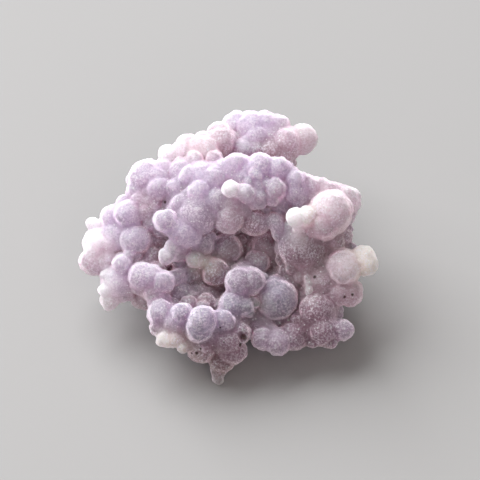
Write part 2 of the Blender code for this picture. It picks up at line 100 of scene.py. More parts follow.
# The left shoulder: one broad smooth lobe at the top, then a slope of smaller balls.
LEFT_SHOULDER = [
    (-13.8, 9.0, 17.0, 2.85, LILAC),
    (-15.0, 7.5, 16.3, 1.9, LILAC),
    (-12.3, 9.0, 18.0, 2.1, LILAC),
    (-12.15, 7.65, 18.3, 1.8, LILAC),
    (-11.4, 10.5, 18.3, 1.5, LILAC),
    (-14.85, 10.5, 17.8, 1.2, PALE),
    (-16.05, 9.0, 16.3, 1.05, PALE),
    (-13.8, 11.1, 18.0, 1.05, LILAC),
    (-13.5, 5.1, 16.0, 1.8, MAUVE),
    (-9.75, 7.5, 19.0, 1.35, LILAC),
    (-10.35, 5.25, 16.5, 1.35, MAUVE),
    (-16.8, 3.75, 15.5, 2.1, LILAC),
    (-19.05, 3.3, 14.0, 1.8, LILAC),
    (-17.25, 5.55, 15.0, 1.2, LILAC),
    (-22.05, 2.4, 12.5, 1.0, WHITE),
    (-21.15, 2.4, 12.7, 0.6, WHITE),
    (-21.1, -0.5, 11.3, 2.35, LILAC),
    (-21.45, -0.2, 13.4, 1.2, WHITE),
    (-21.9, -1.65, 12.0, 1.3, WHITE),
    (-22.0, -3.15, 10.5, 1.95, PINK),
    (-20.5, -3.0, 10.6, 1.95, PINK),
    (-15.75, 0.0, 13.5, 2.25, LILAC),
    (-17.7, -0.15, 12.5, 1.5, PALE),
    (-14.25, -1.8, 10.5, 1.8, MAUVE),
]
# The arm below it: pale tips with glassy white buds.
LEFT_LOWER_ARM = [
    (-17.7, -3.6, 12.5, 1.35, LILAC),
    (-16.65, -2.25, 13.0, 0.75, PALE),
    (-18.3, -6.15, 9.5, 2.4, LILAC),
    (-16.8, -6.3, 9.5, 1.65, BROWN),
    (-18.9, -5.25, 11.3, 0.75, PALE),
    (-20.4, -5.1, 11.0, 0.55, WHITE),
    (-20.25, -7.5, 9.5, 0.9, WHITE),
    (-19.5, -9.0, 7.5, 1.35, BLUSH),
    (-14.7, -5.4, 12.0, 1.95, LILAC),
    (-13.2, -5.55, 12.3, 1.75, LILAC),
    (-11.5, -6.2, 12.6, 1.6, LILAC),
    (-12.6, -7.5, 10.5, 1.95, PINK),
    (-14.7, -8.85, 6.5, 1.5, BROWN),
]
# The lobe at the front left, with a tail that points down.
# Its tail and the low balls at its front are tinted umber and plum, partly painted shade.
FRONT_LEFT_LOBE = [
    (-11.55, -10.95, 9.5, 2.1, LILAC),
    (-11.7, -13.05, 8.0, 1.65, MAUVE),
    (-9.75, -12.3, 9.5, 1.8, BLUISH),
    (-8.7, -10.95, 11.5, 1.5, BLUISH),
    (-11.1, -14.7, 8.2, 1.2, CREAM),
    (-9.6, -14.7, 8.2, 1.2, CREAM),
    (-8.6, -16.05, 7.4, 0.8, CREAM),
    (-5.55, -12.0, 12.0, 2.05, BLUISH),
    (-6.0, -13.05, 10.5, 2.1, BLUISH),
    (-2.4, -12.15, 10.5, 1.8, BLUISH),
    (-5.7, -16.2, 6.5, 1.95, UMBER),
    (-7.05, -15.45, 7.0, 1.35, UMBER),
    (-1.8, -14.7, 8.0, 2.25, MAUVE),
    (-0.15, -13.8, 8.5, 1.65, MAUVE),
    (-1.2, -16.5, 6.0, 1.95, PLUM),
    (-2.7, -17.9, 4.1, 1.75, UMBER),
    (-2.9, -18.7, 3.2, 1.4, UMBER),
    (-3.1, -19.5, 2.3, 1.1, UMBER),
    (-3.2, -20.2, 1.6, 0.9, BLUSH),
    (-3.3, -20.7, 1.1, 0.8, BLUSH),
]
# The hollow in the middle and the balls that stand in it.
# The darkest balls in it carry painted shade, and the brown ones carry it in part.
CENTRE_HOLLOW = [
    (-6.6, 3.6, 18.0, 2.85, GREYISH),
    (-8.55, 5.25, 18.5, 1.8, GREYISH),
    (-6.0, 5.25, 19.5, 1.8, GREYISH),
    (-4.2, 4.2, 18.5, 1.5, GREYISH),
    (-9.3, 4.2, 17.5, 1.5, GREYISH),
    (-1.5, 5.1, 19.3, 1.65, PINK),
    (0.15, 4.5, 18.6, 1.35, PINK),
    (-1.65, 3.3, 18.0, 2.1, PINK),
    (2.25, 2.7, 16.5, 1.95, DARK_SHADE),
    (-2.1, -1.5, 12.0, 2.25, PINK),
    (-3.6, -4.8, 11.5, 2.1, BROWN),
    (-6.75, -4.5, 10.5, 1.95, BROWN),
    (-8.7, -5.7, 9.5, 1.8, LILAC),
    (-9.0, -7.95, 9.0, 1.8, BLUISH),
    (-6.0, -7.8, 8.5, 1.65, MAUVE),
    (-4.8, -9.0, 8.0, 1.2, GREYISH),
    (-6.75, -2.85, 13.5, 1.2, CREAM),
    (-5.55, -3.3, 12.8, 0.85, CREAM),
    (-5.4, -0.6, 14.5, 1.35, GREYISH),
    (-6.45, -0.9, 14.6, 0.75, GREYISH),
    (-4.2, 0.6, 15.3, 0.6, GREYISH),
    (-4.95, 0.3, 15.5, 0.6, GREYISH),
    (-8.85, -2.85, 11.5, 1.5, GREYISH),
    (-6.0, -9.15, 8.2, 1.2, GREYISH),
    (-4.5, -9.3, 8.3, 1.05, GREYISH),
    (0.0, -2.7, 9.2, 1.2, DARK_SHADE),
    (3.75, -1.05, 11.5, 1.95, PINK),
    (2.7, -3.3, 11.0, 1.8, PINK),
    (4.8, -1.5, 11.5, 1.35, PINK),
    (6.75, -5.55, 9.0, 1.95, DARK_SHADE),
]
# Two fingers that hang over the hollow from the left.
HANGING_FINGER = [
    (-11.1, 2.85, 19.0, 1.65, LILAC),
    (-9.6, 1.8, 18.0, 1.35, LILAC),
    (-8.4, 1.0, 17.0, 2.05, LILAC),
    (-7.2, 0.3, 16.5, 1.2, LILAC),
    (-10.05, -1.05, 15.5, 1.15, PALE),
    (-10.95, -2.4, 14.5, 1.15, PALE),
]
# The bluish balls right of the middle, with the largest clear one.
CENTRE_RIGHT = [
    (0.0, -6.3, 13.0, 2.1, GREYISH),
    (1.65, -6.15, 13.0, 1.95, GREYISH),
    (-0.9, -9.6, 11.0, 1.95, BLUISH),
    (0.6, -9.9, 11.0, 1.35, BLUISH),
    (1.2, -10.65, 10.0, 0.9, BLUISH),
    (2.25, -9.3, 10.5, 0.7, CREAM),
    (5.55, -8.85, 9.5, 3.1, BLUISH),
    (3.75, -5.55, 11.0, 0.5, BLUISH),
    (3.3, -14.6, 7.0, 1.6, GREYISH),
    (5.55, -15.15, 6.5, 1.9, GREYISH),
    (3.75, -13.05, 7.0, 0.5, WHITE),
]
# The highest ridge, across the middle.
MIDDLE_RIDGE = [
    (-0.6, 11.1, 22.0, 1.75, LILAC),
    (3.15, 10.95, 22.5, 1.9, LILAC),
    (5.7, 10.35, 22.0, 1.95, LILAC),
    (2.4, 9.75, 22.5, 1.15, LILAC),
    (8.25, 8.85, 21.5, 1.5, LILAC),
    (5.4, 7.5, 21.5, 1.45, PINK),
    (4.8, 6.3, 20.5, 1.05, PINK),
    (8.4, 7.2, 20.0, 1.8, LILAC),
    (0.9, 6.9, 21.5, 1.35, PALE),
    (-1.35, 7.65, 22.5, 1.2, WHITE),
    (1.8, 5.7, 20.0, 1.0, LILAC),
    (3.3, 6.15, 20.0, 1.0, PINK),
    (-3.75, 9.0, 21.0, 2.1, LILAC),
    (-6.0, 7.05, 20.5, 1.8, LILAC),
    (-7.5, 9.3, 20.0, 1.8, LILAC),
    (-3.75, 6.0, 20.0, 1.8, LILAC),
    (0.0, 9.0, 21.0, 1.5, LILAC),
    (3.3, 8.1, 21.0, 1.5, LILAC),
    (2.25, 10.2, 23.0, 0.8, LILAC),
    (2.55, 9.45, 22.6, 0.9, LILAC),
    (0.45, 9.45, 22.2, 0.6, LILAC),
    (1.2, 8.85, 22.2, 0.6, LILAC),
    (5.25, 8.55, 22.4, 0.75, LILAC),
    (5.55, 7.8, 21.7, 1.3, LILAC),
    (4.95, 6.15, 20.6, 0.9, LILAC),
    (4.05, 8.25, 22.0, 0.6, LILAC),
    (3.0, 8.1, 21.6, 1.0, LILAC),
    (3.0, 6.45, 20.6, 1.15, LILAC),
    (2.1, 5.25, 19.9, 0.75, PINK),
    (3.15, 5.55, 19.9, 0.75, LILAC),
    (8.7, 7.65, 20.5, 1.35, LILAC),
    (9.0, 6.15, 19.0, 1.5, LILAC),
    (6.15, 5.25, 18.0, 1.5, LILAC),
    (-5.25, 10.2, 21.2, 0.8, LILAC),
    (-5.4, 7.65, 21.4, 0.9, LILAC),
    (2.0, 8.4, 21.3, 1.1, LILAC),
]
# The arm at the right, with the big pale ball at its end.
RIGHT_ARM = [
    (9.9, 8.4, 19.5, 1.35, PINK),
    (10.8, 7.5, 19.0, 1.8, PINK),
    (12.0, 7.8, 19.0, 1.35, BLUSH),
    (14.25, 7.2, 18.5, 1.35, GREYISH),
    (16.8, 5.4, 17.0, 1.2, PALE),
    (13.2, 6.6, 18.5, 1.95, PINK),
    (15.75, 6.0, 18.0, 1.95, BLUSH),
    (16.8, 6.45, 17.5, 1.15, BLUSH),
    (16.35, 3.9, 16.5, 1.05, BLUSH),
    (13.5, 4.2, 19.5, 3.0, BLUSH),
    (11.4, 2.0, 18.3, 1.7, PINK),
    (12.5, 2.4, 18.8, 2.2, PINK),
    (10.05, 3.45, 20.0, 1.5, CREAM),
    (8.25, 3.3, 20.5, 1.35, WHITE),
]
# The right face, down to the front.
# Its mauve and plum balls low at the front are darker in part by painted shade.
RIGHT_FACE = [
    (9.3, -1.05, 14.0, 3.6, MAUVE),
    (7.5, 1.8, 16.5, 1.3, GREYISH),
    (5.25, 3.0, 17.2, 1.25, PALE),
    (5.7, 1.8, 16.5, 1.1, GREYISH),
    (5.9, 0.9, 15.7, 1.1, GREYISH),
    (13.2, 0.0, 14.0, 2.4, MAUVE),
    (15.0, 0.6, 13.5, 1.65, MAUVE),
    (15.45, -4.05, 13.3, 2.55, BLUSH),
    (18.3, -2.7, 13.8, 1.75, CREAM),
    (19.05, -3.6, 13.5, 1.45, CREAM),
    (18.45, -4.5, 13.0, 0.9, CREAM),
    (12.3, -6.0, 10.5, 2.7, MAUVE),
    (10.05, -4.5, 12.6, 0.7, PINK),
    (10.05, -5.6, 12.2, 0.6, PINK),
    (10.2, -6.5, 11.9, 0.55, BLUSH),
    (10.25, -7.4, 11.6, 0.6, BLUSH),
    (16.4, -7.95, 9.5, 1.9, PINK),
    (14.7, -7.9, 10.0, 1.8, PINK),
    (11.4, -10.5, 8.5, 2.7, PLUM),
    (12.3, -13.35, 7.0, 2.25, PLUM),
    (15.3, -13.35, 7.0, 1.45, GREYISH),
    (7.95, -14.25, 6.0, 2.1, PLUM),
    (10.8, -15.0, 5.5, 1.05, PLUM),
    (13.35, -14.85, 5.5, 1.2, PLUM),
]
# Broad low swellings under the balls, where the body of the stone nearly reaches their crowns.
SWELLINGS = [
    (4.6, 15.2, 16.2, 2.2, LILAC),
    (-5.2, 12.8, 18.6, 2.2, BLUSH),
    (-5.6, 9.2, 20.1, 2.3, LILAC),
    (-2.0, 9.6, 20.4, 2.4, LILAC),
    (1.4, 9.8, 20.6, 2.4, LILAC),
    (4.6, 9.6, 20.4, 2.4, LILAC),
    (7.4, 8.2, 19.5, 2.3, LILAC),
    (-4.6, 6.6, 18.5, 2.4, LILAC),
    (-1.0, 6.8, 18.7, 2.3, LILAC),
    (2.2, 7.0, 18.8, 2.4, LILAC),
    (5.4, 6.8, 18.7, 2.3, LILAC),
    (-11.5, 7.0, 16.2, 2.4, PINK),
    (-9.0, 6.4, 17.2, 2.3, LILAC),
    (-8.6, 9.8, 18.6, 2.2, LILAC),
    (-15.2, 5.4, 14.8, 2.1, LILAC),
    (-18.6, 0.9, 12.8, 2.0, LILAC),
    (-16.4, -4.6, 10.0, 2.0, PINK),
    (12.6, -3.2, 11.6, 2.5, PINK),
    (10.1, -12.8, 6.2, 2.3, PLUM),
    (-8.2, -13.2, 8.0, 2.1, MAUVE),
    (-3.6, -14.2, 7.8, 2.2, MAUVE),
]
SEEN_BALLS = (
    BACK_RIDGE
    + PALE_SHOULDER
    + LEFT_SHOULDER
    + LEFT_LOWER_ARM
    + FRONT_LEFT_LOBE
    + CENTRE_HOLLOW
    + HANGING_FINGER
    + CENTRE_RIGHT
    + MIDDLE_RIDGE
    + RIGHT_ARM
    + RIGHT_FACE
    + SWELLINGS
)

# Balls under the overhang of the two ridges, on the side away from the viewer: X, Y, Z, radius, tint
FAR_BALLS = [
    (-1.9, 19.7, 14.6, 1.4, LILAC),
    (0.5, 20.8, 14.9, 1.5, PALE),
    (2.9, 20.6, 14.6, 1.7, LILAC),
    (5.4, 20.4, 14.6, 1.4, PINK),
    (7.4, 18.7, 13.9, 1.7, PINK),
    (10.3, 18.0, 13.6, 1.3, PALE),
    (4.1, 19.2, 12.5, 1.6, LILAC),
    (1.4, 19.3, 12.7, 1.3, LILAC),
    (-0.8, 18.3, 12.4, 1.5, BLUISH),
    (6.3, 17.8, 11.9, 1.3, BLUISH),
    (0.2, 8.4, 19.9, 1.4, LILAC),
    (2.6, 8.0, 20.2, 1.5, LILAC),
    (5.2, 7.6, 19.9, 1.6, PALE),
    (7.9, 6.2, 18.4, 1.4, PINK),
    (10.4, 6.1, 17.4, 1.6, PINK),
    (12.6, 5.6, 17.0, 1.4, PALE),
    (14.6, 5.2, 16.4, 1.5, PINK),
    (16.8, 4.5, 15.6, 1.3, PALE),
    (0.4, 8.6, 17.2, 1.6, LILAC),
    (2.9, 8.2, 17.8, 1.3, BLUISH),
    (5.7, 7.4, 17.5, 1.5, LILAC),
    (9.0, 6.3, 15.9, 1.6, BLUISH),
    (11.6, 5.4, 14.8, 1.4, PINK),
    (13.7, 4.4, 14.1, 1.6, BLUISH),
    (15.6, 3.9, 13.6, 1.2, PALE),
]

# Each lobe of the body that carries the balls: its middle and its half-lengths along X, Y and Z
LOBES = {
    "foot": ((1.0, 3.0, 1.0), (12.0, 10.0, 4.5)),
    "trunk": ((0.0, 2.5, 5.5), (13.0, 10.0, 6.0)),
    "ridge": ((0.5, 4.8, 15.8), (10.8, 3.9, 5.8)),
    "back": ((1.2, 12.5, 8.5), (5.8, 5.0, 5.5)),
    "back_ridge": ((1.8, 16.0, 14.0), (4.6, 2.8, 2.8)),
    "shoulder": ((-8.0, 8.2, 13.0), (6.0, 4.8, 6.4)),
    "left": ((-13.0, 4.2, 12.0), (4.8, 4.6, 5.3)),
    "left_arm": ((-16.0, -1.0, 10.0), (5.0, 3.5, 2.4)),
    "left_low": ((-13.8, -5.6, 9.3), (3.4, 2.5, 2.2)),
    "front_left": ((-6.5, -11.5, 7.5), (5.0, 4.0, 3.0)),
    "front": ((0.0, -6.0, 6.0), (9.0, 7.0, 3.8)),
    "right": ((10.5, -2.0, 10.0), (5.0, 5.5, 5.0)),
    "right_arm": ((12.3, 1.7, 16.0), (3.9, 3.0, 3.2)),
    "front_right": ((10.0, -9.3, 6.6), (4.3, 3.8, 2.5)),
}
LOBE_FILL_RADIUS = 1.5  # balls that fill those lobes
LOBE_FILL_SPACING = 1.35
LOBE_FILL_SHIFT = 0.3  # how far they lie out of line, at random
WEB_REACH = 1.0  # two balls this many times their radii apart, or closer, are joined by a web
WEB_SHARE = 0.9  # a web's radius, as a share of the smaller ball's
WEB_SINK = 0.5  # how far a web lies behind the two, as a share of its radius
BACKING_SHARE = 1.12  # the radius of the lump behind each ball, as a share of the ball's
BACKING_SINK = 0.55  # how far that lump lies behind it, as a share of the ball's radius
STEM_SHARE = 0.75  # the radius of the stem that a ball grew on, as a share of the ball's
STEM_STEP = 0.4  # how far apart its balls lie, as a share of that radius
STEM_STEPS = 12  # balls in the longest stem
STEM_END = 0.8  # how deep in its lobe a stem ends
FACING_LIMIT = 0.05  # a surface turned towards the viewer by more than this is a seen one
LOBE_CLEARANCE = 0.97  # balls stand on a lobe only where no other lobe comes deeper than this
HIDDEN_BALL_RADIUS = (1.25, 2.3)  # balls on the back, the sides and the underside
HIDDEN_BALL_SPACING = 2.75
HIDDEN_BALL_SHIFT = 0.5  # how far they lie out of place, at random
HIDDEN_BALL_RISE = 0.1  # how far their middles stand off the lobe, as a share of the radius
HIDDEN_TINTS = (LILAC, LILAC, BLUISH, PALE, PINK, MAUVE)
FULL_LOBE_HALF = 4.5  # on lobes thinner than this either way the hidden balls are smaller
BUD_RADIUS = (0.45, 0.85)  # small buds on the hidden balls
BUD_SHARE = 0.45  # share of the hidden balls that carry one
BUD_LEAN = 0.8  # how far a bud leans from straight out
FLOOR_BALL_RADIUS = (0.9, 1.4)  # low balls between the big ones in front
FLOOR_BALL_SPACING = 2.0
FLOOR_BALL_SINK = 0.35  # how deep their middles lie in the lobe, as a share of the radius
BALL_SEED = 7  # the same balls each time


def laid_out(across, up, height):
    """A point in space from its place in the laying-out view and its height above the table."""
    tilt = math.radians(VIEW_ELEVATION)
    back = (up - (height - VIEW_MIDDLE_HEIGHT) * math.cos(tilt)) / math.sin(tilt)
    return Vector((across, back, height))


def towards_the_viewer():
    """The direction from the cluster to the viewer in the laying-out view."""
    tilt = math.radians(VIEW_ELEVATION)
    return Vector((0.0, -math.cos(tilt), math.sin(tilt)))


def even_directions(count):
    """Directions spread evenly all round, by the golden angle."""
    golden_angle = math.pi * (3.0 - math.sqrt(5.0))
    for step in range(count):
        height = 1.0 - 2.0 * (step + 0.5) / count
        ring = math.sqrt(1.0 - height * height)
        turn = step * golden_angle
        yield Vector((ring * math.cos(turn), ring * math.sin(turn), height))


def lobe_depth(point, lobe):
    """How deep a point lies in a lobe: 0 at its middle, 1 on its surface, more outside it."""
    middle, halves = lobe
    return math.sqrt(sum(((p - m) / h) ** 2 for p, m, h in zip(point, middle, halves)))


def scatter(rng, most):
    """A random shift of up to so much along each axis."""
    return Vector(rng.uniform(-most, most) for _ in range(3))


def lobe_surface(name, spacing):
    """Points about a spacing apart on one lobe, clear of the other lobes, each with its outward direction."""
    middle, halves = LOBES[name]
    mean = (halves[0] * halves[1] * halves[2]) ** (1.0 / 3.0)
    count = int(4.0 * math.pi * mean * mean / spacing**2)
    others = [lobe for other, lobe in LOBES.items() if other != name]
    for direction in even_directions(count):
        point = Vector(m + h * d for m, h, d in zip(middle, halves, direction))
        outward = Vector(d / h for h, d in zip(halves, direction)).normalized()
        if point.z > 0.0 and all(lobe_depth(point, lobe) > LOBE_CLEARANCE for lobe in others):
            yield point, outward


def hidden_balls(rng, tint_rng):
    """Balls with their buds on every side that the laying-out view doesn't reach."""
    balls = []
    for name, (_, halves) in LOBES.items():
        share = min(1.0, min(halves) / FULL_LOBE_HALF)
        for point, outward in lobe_surface(name, HIDDEN_BALL_SPACING * share):
            radius = rng.uniform(*HIDDEN_BALL_RADIUS) * share
            shift = scatter(rng, HIDDEN_BALL_SHIFT)
            has_bud = rng.random() < BUD_SHARE
            bud_radius = rng.uniform(*BUD_RADIUS)
            lean = scatter(rng, BUD_LEAN)
            if outward.dot(towards_the_viewer()) > FACING_LIMIT:
                continue
            centre = point + outward * radius * HIDDEN_BALL_RISE + shift
            balls.append((centre, radius, tint_rng.choice(HIDDEN_TINTS)))
            if has_bud:
                balls.append((centre + (outward + lean).normalized() * radius, bud_radius, PALE))
    return balls


def floor_balls(rng):
    """Low balls on the body between the big ones, towards the viewer, brown as painted shade in the gaps."""
    balls = []
    for name in LOBES:
        for point, outward in lobe_surface(name, FLOOR_BALL_SPACING):
            radius = rng.uniform(*FLOOR_BALL_RADIUS)
            if outward.dot(towards_the_viewer()) > FACING_LIMIT:
                balls.append((point - outward * radius * FLOOR_BALL_SINK, radius, BROWN))
    return balls


def web_balls(balls):
    """A ball in each gap between neighbours, set back from the viewer, where they have grown together."""
    webs = []
    for first, (middle_1, radius_1, tint_1) in enumerate(balls):
        for middle_2, radius_2, tint_2 in balls[first + 1 :]:
            apart = (middle_1 - middle_2).length
            if apart > WEB_REACH * (radius_1 + radius_2):
                continue
            radius = WEB_SHARE * min(radius_1, radius_2)
            middle = middle_1.lerp(middle_2, 0.5)
            tint = tint_1 if radius_1 > radius_2 else tint_2
            webs.append((middle - towards_the_viewer() * radius * WEB_SINK, radius, tint))
    return webs


def backing_balls(balls):
    """A lump a little wider than each ball, sunk behind it, that the ball swells out of."""
    away = -towards_the_viewer()
    return [
        (middle + away * radius * BACKING_SINK, radius * BACKING_SHARE, tint)
        for middle, radius, tint in balls
    ]


def stem_balls(balls):
    """The stem that each ball grew on: a short row of balls from it into the nearest lobe."""
    stems = []
    for middle, radius, tint in balls:
        nearest = min(LOBES.values(), key=lambda lobe: lobe_depth(middle, lobe))
        inward = (Vector(nearest[0]) - middle).normalized()
        stem_radius = STEM_SHARE * radius
        for step in range(1, STEM_STEPS + 1):
            point = middle + inward * step * STEM_STEP * stem_radius
            if lobe_depth(point, nearest) < STEM_END:
                break
            stems.append((point, stem_radius, tint))
    return stems


def lobe_filling(rng):
    """Balls that fill each lobe of the body, a little out of line so that no rows show."""
    filling = []
    for middle, halves in LOBES.values():
        inner = [half - LOBE_FILL_RADIUS for half in halves]
        counts = [int(half / LOBE_FILL_SPACING) for half in inner]
        steps = [range(-count, count + 1) for count in counts]
        for place in itertools.product(*steps):
            offset = Vector(place) * LOBE_FILL_SPACING + scatter(rng, LOBE_FILL_SHIFT)
            if sum((o / half) ** 2 for o, half in zip(offset, inner)) <= 1.0:
                filling.append((Vector(middle) + offset, LOBE_FILL_RADIUS, BROWN))
    return filling


ball_rng = random.Random(BALL_SEED)
tint_rng = random.Random(BALL_SEED)
seen = [(laid_out(across, up, height), radius, tint) for across, up, height, radius, tint in SEEN_BALLS]
far = [(Vector(place), radius, tint) for *place, radius, tint in FAR_BALLS]
hidden = hidden_balls(ball_rng, tint_rng)
floor = floor_balls(ball_rng)
skin_balls = seen + web_balls(seen) + backing_balls(seen) + stem_balls(seen) + far + hidden + floor
all_balls = skin_balls + lobe_filling(ball_rng)

# The balls are fused into one skin, which swells and dimples a little as it grew.
MM = 0.001  # the sizes here are in millimetres, and Blender's are in metres
FUSE_STEP = 0.22  # how fine the volume is that the balls are fused in
SKIN_THRESHOLD = 0.5  # where the skin lies in that volume's outermost step
SWELL_SIZE = 1.7  # the low swells and dimples
SWELL_HEIGHT = 0.35
GRAIN_SIZE = 0.65  # the coarse sugary grain
GRAIN_HEIGHT = 0.13
SKIN_TRIANGLES = 190000  # what the skin is thinned out to


def add(tree, kind, inputs=None, **settings):
    """One node with its settings and, for each named input, a value or the output that feeds it."""
    node = tree.nodes.new(kind)
    for name, value in settings.items():
        setattr(node, name, value)
    for name, value in (inputs or {}).items():
        if isinstance(value, bpy.types.NodeSocket):
            tree.links.new(value, node.inputs[name])
        else:
            node.inputs[name].default_value = value
    return node


cluster_mesh = bpy.data.meshes.new("chalcedony_cluster")
cluster_mesh.from_pydata([middle * MM for middle, _, _ in all_balls], [], [])
ball_radii = cluster_mesh.attributes.new("ball_radius", "FLOAT", "POINT")
ball_radii.data.foreach_set("value", [radius * MM for _, radius, _ in all_balls])
cluster = bpy.data.objects.new("chalcedony_cluster", cluster_mesh)
bpy.context.scene.collection.objects.link(cluster)

growth = bpy.data.node_groups.new("growth", "GeometryNodeTree")
growth.interface.new_socket("Balls", in_out="INPUT", socket_type="NodeSocketGeometry")
growth.interface.new_socket("Skin", in_out="OUTPUT", socket_type="NodeSocketGeometry")
balls_in = add(growth, "NodeGroupInput").outputs[0]
ball_radius = add(growth, "GeometryNodeInputNamedAttribute", {"Name": "ball_radius"}, data_type="FLOAT")
grown = add(
    growth,
    "ShaderNodeMath",
    {0: ball_radius.outputs[0], 1: SKIN_THRESHOLD * FUSE_STEP * MM},
    operation="ADD",
)
points = add(growth, "GeometryNodeMeshToPoints", {"Mesh": balls_in})
filled = add(
    growth,
    "GeometryNodePointsToVolume",
    {"Points": points.outputs[0], "Voxel Size": FUSE_STEP * MM, "Radius": grown.outputs[0]},
    resolution_mode="VOXEL_SIZE",
)
skin = add(
    growth,
    "GeometryNodeVolumeToMesh",
    {"Volume": filled.outputs[0], "Threshold": SKIN_THRESHOLD, "Adaptivity": 0.0},
    resolution_mode="GRID",
)
# Only the outermost shell stays: what the balls leave empty inside is solid stone.
shell = add(growth, "GeometryNodeInputMeshIsland")
shell_faces = add(
    growth,
    "GeometryNodeAccumulateField",
    {"Value": 1, "Group ID": shell.outputs["Island Index"]},
    data_type="INT",
    domain="FACE",
)
most_faces = add(
    growth,
    "GeometryNodeAttributeStatistic",
    {"Geometry": skin.outputs[0], "Attribute": shell_faces.outputs["Total"]},
    domain="FACE",
)
inner_shell = add(
    growth,
    "ShaderNodeMath",
    {0: shell_faces.outputs["Total"], 1: most_faces.outputs["Max"]},
    operation="LESS_THAN",
)
outer = add(
    growth,
    "GeometryNodeDeleteGeometry",
    {"Geometry": skin.outputs[0], "Selection": inner_shell.outputs[0]},
    domain="FACE",
)
# The swells and the grain both rise and sink by up to their height.
heights = []
for size, most in ((SWELL_SIZE, SWELL_HEIGHT), (GRAIN_SIZE, GRAIN_HEIGHT)):
    noise = add(growth, "ShaderNodeTexNoise", {"Scale": 1.0 / (size * MM), "Detail": 1.0})
    height = add(
        growth,
        "ShaderNodeMath",
        {0: noise.outputs["Fac"], 1: 2.0 * most * MM, 2: -most * MM},
        operation="MULTIPLY_ADD",
    )
    heights.append(height.outputs[0])
relief = add(growth, "ShaderNodeMath", {0: heights[0], 1: heights[1]}, operation="ADD")
outward = add(growth, "GeometryNodeInputNormal")
shift = add(
    growth,
    "ShaderNodeVectorMath",
    {0: outward.outputs[0], "Scale": relief.outputs[0]},
    operation="SCALE",
)
shaped = add(growth, "GeometryNodeSetPosition", {"Geometry": outer.outputs[0], "Offset": shift.outputs[0]})
add(growth, "NodeGroupOutput", {0: shaped.outputs[0]})
cluster.modifiers.new("growth", "NODES").node_group = growth


def applied(piece):
    """The piece's mesh as its modifiers leave it, put in place of its first one."""
    evaluated = piece.evaluated_get(bpy.context.evaluated_depsgraph_get())
    first = piece.data
    piece.data = bpy.data.meshes.new_from_object(evaluated)
    piece.modifiers.clear()
    bpy.data.meshes.remove(first)


applied(cluster)
thin = cluster.modifiers.new("thin", "DECIMATE")
cluster.data.calc_loop_triangles()
thin.ratio = SKIN_TRIANGLES / len(cluster.data.loop_triangles)
thin.use_collapse_triangulate = True
applied(cluster)

# Where balls have grown into one another the creases between them are filled part of the way, most of all on
# the upper slopes.
FILL_ROUNDS = 30  # how often the copy is smoothed that the creases are measured against
FILL_SHARE = 0.6  # how much of a crease's depth is filled
FILL_HEIGHTS = (3.0, 6.0)  # where that share begins and where it is reached


def skin_of(mesh):
    """The places of a mesh's vertices in mm, and the directions that the skin faces there."""
    places, outwards = np.empty((2, len(mesh.vertices) * 3))
    mesh.vertices.foreach_get("co", places)
    mesh.vertices.foreach_get("normal", outwards)
    return places.reshape(-1, 3) / MM, outwards.reshape(-1, 3)


def crease_depths(mesh, rounds):
    """How deep in a crease each vertex lies in mm, against a copy of the mesh smoothed so many times."""
    places, outwards = skin_of(mesh)
    edges = np.empty(len(mesh.edges) * 2, int)
    mesh.edges.foreach_get("vertices", edges)
    ends = np.concatenate([edges[0::2], edges[1::2]])
    starts = np.concatenate([edges[1::2], edges[0::2]])
    neighbours = np.bincount(ends, minlength=len(places))
    smoothed = places
    for _ in range(rounds):
        sums = [
            np.bincount(ends, weights=smoothed[starts, axis], minlength=len(places)) for axis in range(3)
        ]
        smoothed = np.stack(sums, axis=1) / neighbours[:, None]
    return ((smoothed - places) * outwards).sum(axis=1)


places, outwards = skin_of(cluster.data)
fill_share = FILL_SHARE * np.interp(places[:, 2], FILL_HEIGHTS, (0.0, 1.0))
fill = crease_depths(cluster.data, FILL_ROUNDS).clip(0.0) * fill_share
cluster.data.vertices.foreach_set("co", ((places + outwards * fill[:, None]) * MM).ravel())

# A few pits, found on the skin where the laying-out view shows them: across, up, radius, depth
PITS = [
    (0.35, -14.5, 0.8, 1.1),
    (0.2, -15.6, 0.5, 0.5),
    (-6.2, -16.9, 0.5, 0.4),
]
PIT_POWER = 0.7  # below 1 the walls are steep and the bottom is broad
SIGHT_WIDTH = 0.3  # how near the line of sight a place on the skin must lie


def seen_place(places, across, up):
    """The place on the skin that the laying-out view shows at a point: the one nearest to the viewer."""
    viewer = np.array(towards_the_viewer())
    offsets = places - np.array(laid_out(across, up, VIEW_MIDDLE_HEIGHT))
    depths = offsets @ viewer
    aside = np.linalg.norm(offsets - depths[:, None] * viewer, axis=1)
    return places[np.where(aside < SIGHT_WIDTH, depths, -np.inf).argmax()]


places, _ = skin_of(cluster.data)
for across, up, radius, depth in PITS:
    away = np.linalg.norm(places - seen_place(places, across, up), axis=1)
    sunk = depth * (1.0 - away / radius).clip(0.0) ** PIT_POWER
    places = places - np.array(towards_the_viewer()) * sunk[:, None]
cluster.data.vertices.foreach_set("co", (places * MM).ravel())
cluster.data.update()

# The saw cut: everything below the table goes, and the cut is closed with one flat face.
SAW_WIDTH = 0.001  # what lies this near to the cut is part of it
stone_shape = bmesh.new()
stone_shape.from_mesh(cluster.data)
sawn = bmesh.ops.bisect_plane(
    stone_shape,
    geom=stone_shape.verts[:] + stone_shape.edges[:] + stone_shape.faces[:],
    dist=SAW_WIDTH * MM,
    plane_co=(0.0, 0.0, 0.0),
    plane_no=(0.0, 0.0, 1.0),
    clear_inner=True,
)
saw_edges = [edge for edge in sawn["geom_cut"] if isinstance(edge, bmesh.types.BMEdge)]
for face in stone_shape.faces:
    face.smooth = True
saw_face = bmesh.ops.triangle_fill(stone_shape, use_beauty=True, normal=(0.0, 0.0, -1.0), edges=saw_edges)
for face in saw_face["geom"]:
    if isinstance(face, bmesh.types.BMFace):
        face.smooth = False
stone_shape.to_mesh(cluster.data)
stone_shape.free()
cluster.data.materials.clear()

# Each place on the skin takes the tint of the balls it belongs to, with a soft step from one to the next.
TINT_BLEND = 0.55  # how soft that step is
CHUNK = 2000  # how many places are worked out at a time


